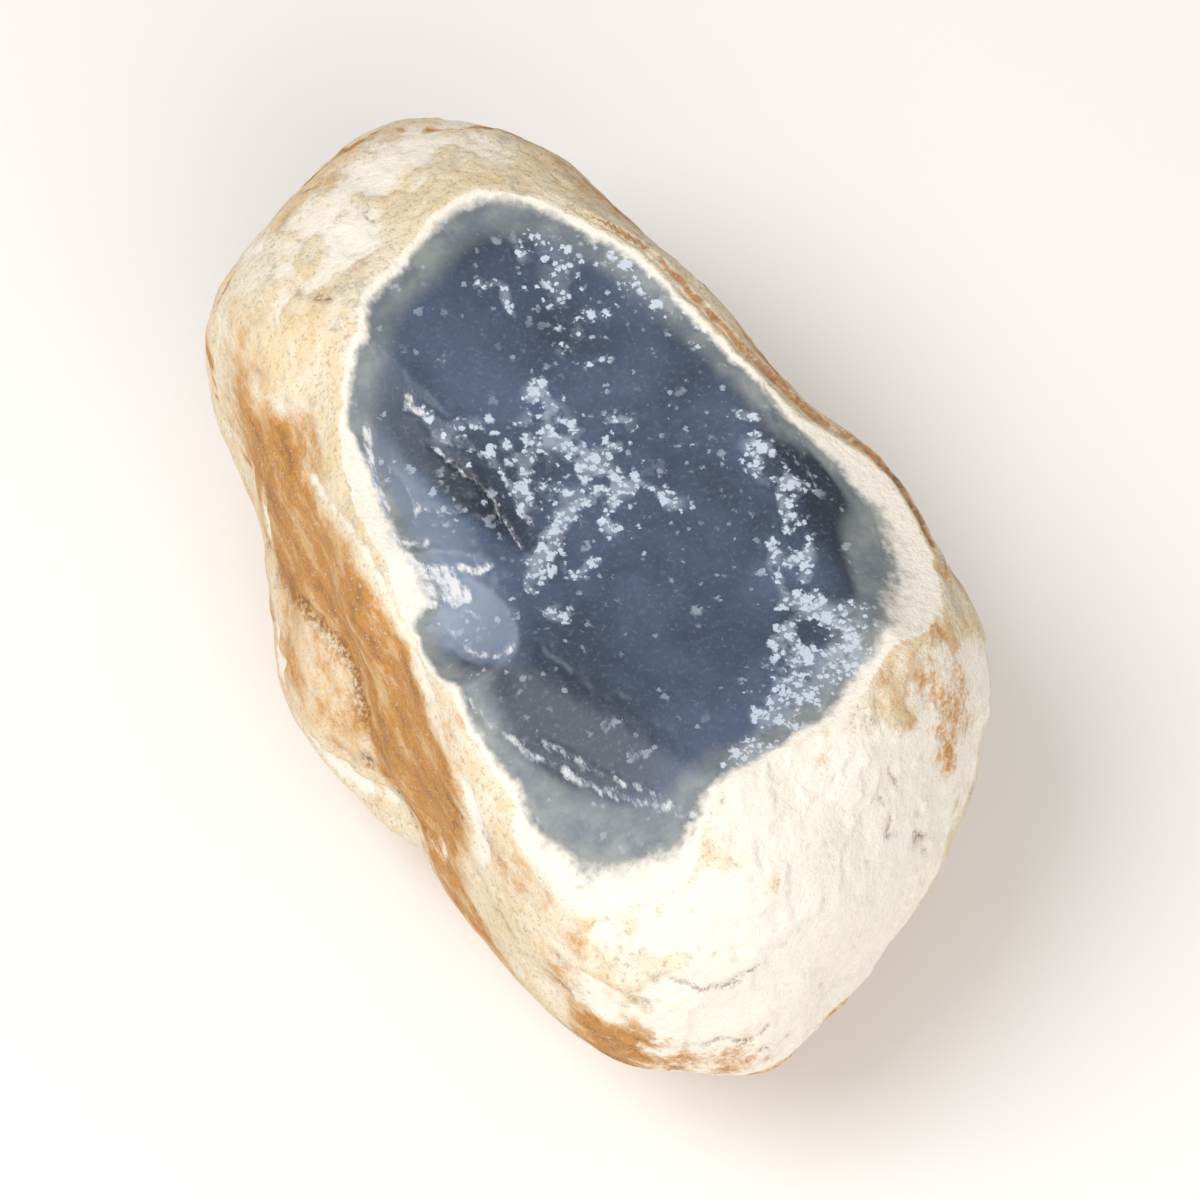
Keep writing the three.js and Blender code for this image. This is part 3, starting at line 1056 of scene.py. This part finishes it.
@dataclass(frozen=True)
class CoreFinish:
    """Blue core as the window shows it, with the grey zone under the rind."""

    dusk: Quad = paint(56, 69, 88)
    blue: Coat = Coat(paint(80, 95, 121), (0.36, 0.64))
    # darker blue, laid on mostly as painted shade
    deep_blue_and_shade: Quad = paint(38, 44, 58)
    haze: Quad = paint(134, 146, 166)
    haze_cover: float = 0.8
    tone_sway: float = 0.35
    grey: Quad = paint(108, 117, 124)
    pale_grey: Coat = Coat(paint(142, 146, 144), (0.35, 0.65))
    blue_band: Pair = (1.8, 3.8)  # from grey to blue, in thicknesses of the rind
    speckle: Coat = Coat(paint(134, 146, 166), (0.5, 0.78), 0.3)
    speckle_grain: Grain = Grain(0.28, 3, 0.7)
    bruise: Quad = paint(208, 218, 232)
    flake: Coat = Coat(paint(224, 224, 225), (0.36, 0.56))
    crushed_cover: float = 0.88
    stray_flecks: float = 0.09
    clumps: Grain = Grain(1.6, 3, 0.6)
    clump_band: Pair = (0.36, 0.56)
    fleck_sizes: Pair = (0.72, 0.36)
    dust_start: float = 0.25
    dust_cover: float = 0.4
    splinters: Grain = Grain(0.5, 4, 0.75)
    splinter_sway: float = 2.4
    edge_sway: float = 1.6
    edge_band: Pair = (0.35, 1.25)
    edge_presence: Pair = (0.05, 0.45)
    roughness: float = 0.42
    bruise_roughness: float = 0.3
    grain_roughness: float = 0.12
    grain_height: float = 0.12
    bruise_height: float = 0.35


class Graph:
    """A node tree, with short calls for the nodes that this script repeats."""

    def __init__(self, tree: bpy.types.NodeTree) -> None:
        """Start from an empty tree."""
        self.tree = tree
        tree.nodes.clear()

    def node(self, kind: str, **settings: Any) -> bpy.types.Node:
        """Add a node.

        Args:
            kind: The node's type.
            settings: Properties to set, by name.

        Returns:
            The new node.
        """
        made = self.tree.nodes.new(kind)
        for name, value in settings.items():
            setattr(made, name, value)
        return made

    def feed(self, socket: Socket, value: Value | Quad) -> None:
        """Join an output to an input, or set the input's own value.

        Args:
            socket: The input.
            value: The output, number or colour that it takes.
        """
        if isinstance(value, Socket):
            self.tree.links.new(value, socket)
        else:
            socket.default_value = value

    def math(self, operation: str, *values: Value, clamp: bool = False) -> Socket:
        """Work out one sum.

        Args:
            operation: The kind of sum.
            values: Up to three numbers.
            clamp: Whether the result is kept between 0 and 1.

        Returns:
            The result.
        """
        made = self.node("ShaderNodeMath", operation=operation, use_clamp=clamp)
        for socket, value in zip(made.inputs, values):
            self.feed(socket, value)
        return made.outputs[0]

    def times(self, a: Value, b: Value) -> Socket:
        """Multiply two numbers."""
        return self.math("MULTIPLY", a, b)

    def sway(self, base: Value, noise_value: Socket, amount: float) -> Socket:
        """Shift a number by noise, up and down alike."""
        return self.math("MULTIPLY_ADD", self.math("SUBTRACT", noise_value, 0.5), amount, base)

    def ramp(self, value: Value, band: Pair) -> Socket:
        """Rise smoothly from 0 to 1 over a band.

        Args:
            value: The number that drives the ramp.
            band: Where the ramp gives 0, and where it gives 1.

        Returns:
            The ramp's value.
        """
        made = self.node("ShaderNodeMapRange", interpolation_type="SMOOTHSTEP")
        self.feed(made.inputs["Value"], value)
        self.feed(made.inputs["From Min"], band[0])
        self.feed(made.inputs["From Max"], band[1])
        return made.outputs["Result"]

    def mix(self, factor: Value, a: Value, b: Value) -> Socket:
        """Mix two numbers.

        Args:
            factor: The share of the second.
            a: The first number.
            b: The second number.

        Returns:
            The mixed number.
        """
        made = self.node("ShaderNodeMix", data_type="FLOAT")
        for index, value in zip((0, 2, 3), (factor, a, b)):
            self.feed(made.inputs[index], value)
        return made.outputs[0]

    def blend(self, factor: Value, a: Socket | Quad, b: Socket | Quad) -> Socket:
        """Mix two colours.

        Args:
            factor: The share of the second.
            a: The first colour.
            b: The second colour.

        Returns:
            The mixed colour.
        """
        made = self.node("ShaderNodeMix", data_type="RGBA")
        for index, value in zip((0, 6, 7), (factor, a, b)):
            self.feed(made.inputs[index], value)
        return made.outputs[2]

    def coat(self, base: Socket | Quad, coat: Coat, driver: Value, share: Value = 1.0) -> Socket:
        """Lay a coat over a colour.

        Args:
            base: The colour below.
            coat: The coat.
            driver: The number that passes the coat's band.
            share: How much of the coat is left, from 0 to 1.

        Returns:
            The colour with the coat over it.
        """
        cover = self.times(self.times(self.ramp(driver, coat.band), coat.cover), share)
        return self.blend(cover, base, coat.colour)

    def noise(self, vector: Socket, grain: Grain) -> Socket:
        """Sample noise.

        Args:
            vector: The place in millimetres.
            grain: The noise's size, detail and harshness.

        Returns:
            A number about 0.5.
        """
        made = self.node("ShaderNodeTexNoise")
        self.feed(made.inputs["Vector"], vector)
        made.inputs["Scale"].default_value = 1 / grain.size
        made.inputs["Detail"].default_value = grain.detail
        made.inputs["Roughness"].default_value = grain.harshness
        return made.outputs["Fac"]

    def mark(self, mark: Mark) -> Socket:
        """Read a mark of the mesh."""
        return self.node("ShaderNodeAttribute", attribute_name=mark.value).outputs["Fac"]

    def mask(self, flecks: bpy.types.NodeTree, place: Socket, cover: Value, size: float) -> Socket:
        """Scatter flecks.

        Args:
            flecks: The fleck group.
            place: The place in millimetres.
            cover: The share of grains that are flecks.
            size: Width of the grains in millimetres.

        Returns:
            1 on a fleck and 0 elsewhere.
        """
        made = self.node("ShaderNodeGroup")
        made.node_tree = flecks
        for name, value in (("Vector", place), ("Cover", cover), ("Size", size)):
            self.feed(made.inputs[name], value)
        return made.outputs["Mask"]


@dataclass(frozen=True)
class Flecks:
    """Crushed flecks: small ragged grains that crowd together as their cover grows."""

    warp: float = 2.2
    warp_detail: float = 3.0
    sharpness: float = 5.0
    radii: Pair = (0.34, 0.3)  # least radius, and what chance adds, in widths of a grain
    edge: float = 7.0

    def build(self) -> bpy.types.NodeTree:
        """Make the node group.

        Returns:
            The group, whose Mask is 1 on a fleck.
        """
        tree = bpy.data.node_groups.new("Crushed flecks", "ShaderNodeTree")
        tree.interface.new_socket("Vector", in_out="INPUT", socket_type="NodeSocketVector")
        for name in ("Cover", "Size"):
            tree.interface.new_socket(name, in_out="INPUT", socket_type="NodeSocketFloat")
        tree.interface.new_socket("Mask", in_out="OUTPUT", socket_type="NodeSocketFloat")
        graph = Graph(tree)
        start = graph.node("NodeGroupInput").outputs
        end = graph.node("NodeGroupOutput")
        warp = graph.node("ShaderNodeTexNoise")
        graph.feed(warp.inputs["Vector"], start["Vector"])
        graph.feed(warp.inputs["Scale"], graph.math("DIVIDE", self.warp, start["Size"]))
        warp.inputs["Detail"].default_value = self.warp_detail
        shift = graph.node("ShaderNodeVectorMath", operation="SCALE")
        graph.feed(shift.inputs[0], warp.outputs["Color"])
        graph.feed(shift.inputs["Scale"], start["Size"])
        bent = graph.node("ShaderNodeVectorMath", operation="ADD")
        graph.feed(bent.inputs[0], shift.outputs[0])
        graph.feed(bent.inputs[1], start["Vector"])
        grains = graph.node("ShaderNodeTexVoronoi", feature="F1")
        graph.feed(grains.inputs["Vector"], bent.outputs[0])
        graph.feed(grains.inputs["Scale"], graph.math("DIVIDE", 1.0, start["Size"]))
        chance = graph.node("ShaderNodeSeparateColor")
        graph.feed(chance.inputs[0], grains.outputs["Color"])
        chosen = graph.math("SUBTRACT", start["Cover"], chance.outputs[0])
        chosen = graph.math("MULTIPLY", chosen, self.sharpness, clamp=True)
        least, added = self.radii
        radius = graph.math("MULTIPLY_ADD", chance.outputs[1], added, least)
        inside = graph.math("SUBTRACT", radius, grains.outputs["Distance"])
        inside = graph.math("MULTIPLY", inside, self.edge, clamp=True)
        graph.feed(end.inputs["Mask"], graph.times(chosen, inside))
        return tree


@dataclass(frozen=True)
class Surroundings:
    """What the parts of the stone's material share."""

    graph: Graph
    place: Socket  # in millimetres
    stretched: Socket  # the place, drawn out along the stone
    fine: Socket
    middle: Socket
    broad: Socket
    flecks: bpy.types.NodeTree


@dataclass
class StoneMaterial:
    """Material of the whole stone: rind outside, grey zone and blue core in the window."""

    rind: RindFinish = field(default_factory=RindFinish)
    core: CoreFinish = field(default_factory=CoreFinish)
    refraction: float = 1.54
    streak: Triple = (1.0, 0.28, 0.7)  # the film is streaked along the stone
    fine: Grain = Grain(0.5, 4, 0.6)
    middle: Grain = Grain(1.9, 4, 0.6)
    broad: Grain = Grain(7.0, 3, 0.5)
    zone_sways: Pair = (1.3, 0.7)  # by middle and fine noise
    core_band: Pair = (0.5, 1.3)  # from rind to core, in thicknesses of the rind
    bump_strength: float = 0.65
    bump_height: float = 0.2

    def build(self) -> bpy.types.Material:
        """Make the material.

        Returns:
            A material with one shader, whose colour, roughness and normal follow the marks.
        """
        material = bpy.data.materials.new("Chalcedony and rind")
        material.use_nodes = True
        graph = Graph(material.node_tree)
        around = self.surroundings(graph)

        zone = graph.math("DIVIDE", graph.mark(Mark.DEPTH), graph.mark(Mark.COVER))
        zone = graph.sway(zone, around.middle, self.zone_sways[0])
        zone = graph.sway(zone, around.fine, self.zone_sways[1])
        in_core = graph.ramp(zone, self.core_band)
        sand = graph.noise(around.place, self.rind.sand)
        core_colour, bruised = self.core_colour(around, zone)
        colour = graph.blend(in_core, self.rind_colour(around, sand), core_colour)

        rough = graph.math("MULTIPLY_ADD", bruised, self.core.bruise_roughness,
                           self.core.roughness)
        rough = graph.math("MULTIPLY_ADD", around.fine, self.core.grain_roughness, rough)
        shader = graph.node("ShaderNodeBsdfPrincipled")
        shader.inputs["IOR"].default_value = self.refraction
        graph.feed(shader.inputs["Base Color"], colour)
        graph.feed(shader.inputs["Roughness"], graph.mix(in_core, self.rind.roughness, rough))
        graph.feed(shader.inputs["Normal"], self.normal(around, sand, in_core))
        out = graph.node("ShaderNodeOutputMaterial")
        graph.feed(out.inputs["Surface"], shader.outputs["BSDF"])
        return material

    def surroundings(self, graph: Graph) -> Surroundings:
        """Make the places, noises and flecks that the material's parts share.

        Args:
            graph: The material's graph.

        Returns:
            What they share.
        """
        scaled = graph.node("ShaderNodeVectorMath", operation="SCALE")
        graph.feed(scaled.inputs[0], graph.node("ShaderNodeTexCoord").outputs["Object"])
        scaled.inputs["Scale"].default_value = 1 / MM
        place = scaled.outputs[0]
        stretched = graph.node("ShaderNodeVectorMath", operation="MULTIPLY")
        graph.feed(stretched.inputs[0], place)
        stretched.inputs[1].default_value = self.streak
        fine, middle, broad = (graph.noise(place, grain)
                               for grain in (self.fine, self.middle, self.broad))
        return Surroundings(
            graph, place, stretched.outputs[0], fine, middle, broad, Flecks().build())

    def rind_colour(self, around: Surroundings, sand: Socket) -> Socket:
        """Colour the rind: cream, whiter where layers are gone and along the crest as a painted
        highlight, ochre where the film is left.

        Args:
            around: What the material's parts share.
            sand: The finest noise.

        Returns:
            The rind's colour.
        """
        graph, finish = around.graph, self.rind
        colour = graph.coat(finish.cream, finish.ivory, around.broad)
        colour = graph.coat(colour, finish.tan, graph.noise(around.place, finish.tan_grain))
        colour = graph.coat(colour, finish.grey, graph.noise(around.place, finish.grey_grain))

        # Bare chalk where layers are gone, and along the crest as a painted highlight.
        peel_and_highlight = graph.sway(graph.mark(Mark.PEEL_AND_HIGHLIGHT), around.fine, finish.peel_sway)
        bare = graph.math("MAXIMUM", graph.ramp(peel_and_highlight, finish.peel_band),
                          graph.ramp(graph.mark(Mark.DEPTH), finish.depth_band))
        colour = graph.blend(graph.times(bare, finish.chalk_cover), colour, finish.chalk)

        streaks = graph.noise(around.stretched, finish.streaks)
        film = graph.math("MULTIPLY_ADD", bare, finish.rubbed, graph.mark(Mark.STAIN))
        for noise_value, amount in zip((around.middle, sand, streaks), finish.film_sways):
            film = graph.sway(film, noise_value, amount)
        colour = graph.coat(colour, finish.ochre, film)
        colour = graph.coat(colour, finish.deep_ochre, film, graph.ramp(sand, finish.deep_sand))
        colour = graph.coat(colour, finish.veins, film, graph.ramp(streaks, finish.vein_streaks))
        colour = graph.coat(colour, finish.rust, film, graph.ramp(streaks, finish.rust_streaks))
        seam = graph.math("ABSOLUTE", graph.mark(Mark.SEAM))
        colour = graph.coat(colour, finish.seam, seam, graph.ramp(around.middle, finish.seam_gaps))
        colour = graph.coat(colour, finish.speckle, sand)
        return graph.blend(self.dirt_and_shade(around, sand, bare), colour, finish.brown)

    def dirt_and_shade(self, around: Surroundings, sand: Socket, bare: Socket) -> Socket:
        """Scatter grit and soil over the rind, lay grime along its cracks and paint shade along the
        crease of the flank.

        Args:
            around: What the material's parts share.
            sand: The finest noise.
            bare: Where the chalk is bare, from 0 to 1.

        Returns:
            The cover of the dirt and of the painted shade in the crease.
        """
        graph, finish = around.graph, self.rind
        grit = graph.mask(around.flecks, around.place, finish.grit_share, finish.grit_size)
        soil = graph.times(graph.ramp(sand, finish.soil_sand), finish.soil_cover)
        soil = graph.times(soil, graph.ramp(bare, finish.soil_bare))
        # Grime in the cracks and painted shade in the crease, broken up by sand.
        grime_and_shade = graph.times(graph.mark(Mark.GRIME_AND_SHADE), graph.ramp(sand, finish.grime_and_shade_sand))
        dark = graph.math("MAXIMUM", graph.times(grit, finish.grit_cover), soil)
        return graph.math("MAXIMUM", dark, grime_and_shade)

    def core_colour(self, around: Surroundings, zone: Socket) -> tuple[Socket, Socket]:
        """Colour the window: grey under the rind, then blue, with haze, painted shade and crushed
        flecks.

        Args:
            around: What the material's parts share.
            zone: Depth under the rind, in thicknesses of the rind.

        Returns:
            The colour, and the mask of the flecks and flake edges.
        """
        graph, finish = around.graph, self.core
        tone_and_shade = graph.sway(graph.mark(Mark.TONE_AND_SHADE), around.fine, finish.tone_sway)
        blue = graph.coat(finish.dusk, finish.blue, around.broad)
        # Where the tone falls below 0 the blue darkens: painted shade in most places.
        blue = graph.blend(graph.math("MULTIPLY", tone_and_shade, -1.0, clamp=True), blue, finish.deep_blue_and_shade)
        haze = graph.math("MULTIPLY", tone_and_shade, finish.haze_cover, clamp=True)
        blue = graph.blend(haze, blue, finish.haze)
        grey = graph.coat(finish.grey, finish.pale_grey, around.middle)
        colour = graph.blend(graph.ramp(zone, finish.blue_band), grey, blue)
        speckle = graph.noise(around.place, finish.speckle_grain)
        colour = graph.coat(colour, finish.speckle, speckle)
        mask = self.crushed(around)
        colour = graph.blend(graph.times(mask, finish.crushed_cover), colour, finish.bruise)
        splinters = graph.noise(around.stretched, finish.splinters)
        edges = self.flake_edges(around, splinters)
        flake = graph.coat(finish.haze, finish.flake, splinters)
        colour = graph.blend(graph.times(edges, finish.crushed_cover), colour, flake)
        return colour, graph.math("MAXIMUM", mask, edges)

    def crushed(self, around: Surroundings) -> Socket:
        """Scatter crushed flecks where the window is bruised.

        Args:
            around: What the material's parts share.

        Returns:
            The mask of the flecks.
        """
        graph, finish = around.graph, self.core
        cover = graph.math("ADD", graph.mark(Mark.BRUISE), finish.stray_flecks)
        clumps = graph.noise(around.place, finish.clumps)
        cover = graph.times(cover, graph.ramp(clumps, finish.clump_band))
        dust = graph.math("SUBTRACT", cover, finish.dust_start)
        mask = graph.math("MULTIPLY", dust, finish.dust_cover, clamp=True)
        for size in finish.fleck_sizes:
            flecks = graph.mask(around.flecks, around.place, cover, size)
            mask = graph.math("MAXIMUM", mask, flecks)
        return mask

    def flake_edges(self, around: Surroundings, splinters: Socket) -> Socket:
        """Splinter the lines where thin flakes end.

        Args:
            around: What the material's parts share.
            splinters: The noise that breaks the lines up.

        Returns:
            The mask of the lines.
        """
        graph, finish = around.graph, self.core
        edges = graph.sway(graph.mark(Mark.EDGES), splinters, finish.splinter_sway)
        edges = graph.ramp(graph.sway(edges, around.fine, finish.edge_sway), finish.edge_band)
        present = graph.ramp(graph.mark(Mark.EDGES), finish.edge_presence)
        return graph.times(edges, present)

    def normal(self, around: Surroundings, sand: Socket, in_core: Socket) -> Socket:
        """Bump the surface: chalky grain on the rind, hardly any in the window.

        Args:
            around: What the material's parts share.
            sand: The finest noise.
            in_core: 0 on the rind and 1 in the core.

        Returns:
            The bumped normal.
        """
        graph = around.graph
        rind = graph.math("MULTIPLY_ADD", sand, self.rind.sand_height, around.fine)
        rind = graph.math("MULTIPLY_ADD", graph.mark(Mark.GRIME_AND_SHADE), self.rind.grime_height, rind)
        rough = graph.math("ADD", graph.mark(Mark.BRUISE), graph.mark(Mark.EDGES))
        rough = graph.math("MULTIPLY_ADD", rough, self.core.bruise_height, self.core.grain_height)
        bump = graph.node("ShaderNodeBump")
        bump.inputs["Strength"].default_value = self.bump_strength
        bump.inputs["Distance"].default_value = self.bump_height * MM
        height = graph.mix(in_core, rind, graph.times(around.fine, rough))
        graph.feed(bump.inputs["Height"], height)
        return bump.outputs["Normal"]


@dataclass(frozen=True)
class Lamp:
    """One soft round lamp that points at the stone."""

    name: str
    place: Triple
    size: float
    power: float

    def build(self) -> None:
        """Hang the lamp."""
        data = bpy.data.lights.new(self.name, "AREA")
        data.shape = "DISK"
        data.size = self.size
        data.energy = self.power
        light = bpy.data.objects.new(self.name, data)
        light.location = self.place
        light.rotation_mode = "QUATERNION"
        light.rotation_quaternion = (-Vector(self.place)).to_track_quat("-Z", "Y")
        bpy.context.scene.collection.objects.link(light)


@dataclass
class Studio:
    """Pale floor, soft light and the camera."""

    azimuth: float = -21.0
    elevation: float = 62.0
    distance: float = 0.3
    target: Triple = (-0.0006, -0.0017, 0.016)
    field_width: float = 0.0679  # what the view spans at the target, in metres
    sensor: float = 36.0
    clip_range: float = 100.0
    floor_size: float = 1.6
    floor_colour: Quad = paint(245, 242, 240)
    floor_roughness: float = 0.9
    sky_colour: Quad = (1.0, 0.97, 0.94, 1.0)
    sky_strength: float = 0.41
    lamps: tuple[Lamp, ...] = (
        Lamp("key", (-0.28, 0.04, 0.5), 0.36, 1.85),
        Lamp("fill", (-0.05, -0.5, 0.42), 0.5, 2.0),
    )

    def build(self) -> None:
        """Set up the camera, floor and lights."""
        self.make_camera()
        self.make_floor()
        self.make_lights()

    def make_camera(self) -> None:
        """Put the camera at the photograph's viewing angle."""
        turn, rise = math.radians(self.azimuth), math.radians(self.elevation)
        back = Vector((math.sin(turn) * math.cos(rise), -math.cos(turn) * math.cos(rise),
                       math.sin(rise)))
        data = bpy.data.cameras.new("camera")
        data.sensor_width = self.sensor
        data.lens = self.sensor * self.distance / self.field_width
        data.clip_start = self.distance / self.clip_range
        data.clip_end = self.distance * self.clip_range
        camera = bpy.data.objects.new("camera", data)
        camera.location = Vector(self.target) + back * self.distance
        camera.rotation_mode = "QUATERNION"
        camera.rotation_quaternion = (-back).to_track_quat("-Z", "Y")
        bpy.context.scene.collection.objects.link(camera)
        bpy.context.scene.camera = camera

    def make_floor(self) -> None:
        """Lay a plain pale floor under the stone."""
        sheet = bmesh.new()
        bmesh.ops.create_grid(sheet, x_segments=1, y_segments=1, size=self.floor_size / 2)
        mesh = bpy.data.meshes.new("floor")
        sheet.to_mesh(mesh)
        sheet.free()
        material = bpy.data.materials.new("Pale table")
        material.use_nodes = True
        shader = material.node_tree.nodes["Principled BSDF"]
        shader.inputs["Base Color"].default_value = self.floor_colour
        shader.inputs["Roughness"].default_value = self.floor_roughness
        mesh.materials.append(material)
        floor = bpy.data.objects.new("floor", mesh)
        bpy.context.scene.collection.objects.link(floor)

    def make_lights(self) -> None:
        """Light the stone softly from the upper left."""
        world = bpy.data.worlds.new("studio")
        world.use_nodes = True
        sky = world.node_tree.nodes["Background"]
        sky.inputs["Color"].default_value = self.sky_colour
        sky.inputs["Strength"].default_value = self.sky_strength
        bpy.context.scene.world = world
        bpy.context.scene.view_settings.view_transform = "Standard"
        for lamp in self.lamps:
            lamp.build()


def write_sizes() -> None:
    """Bring the scene up to date."""
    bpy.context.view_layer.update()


def main() -> None:
    """Build the studio and the stone, and report each."""
    logging.basicConfig(level=logging.INFO, format="%(message)s")
    Studio().build()
    LOG.info("studio: camera, floor and lights are in place")
    piece = Nodule().build()
    LOG.info("%s: %d triangles", piece.name, len(piece.data.polygons))
    write_sizes()


if __name__ == "__main__":
    main()
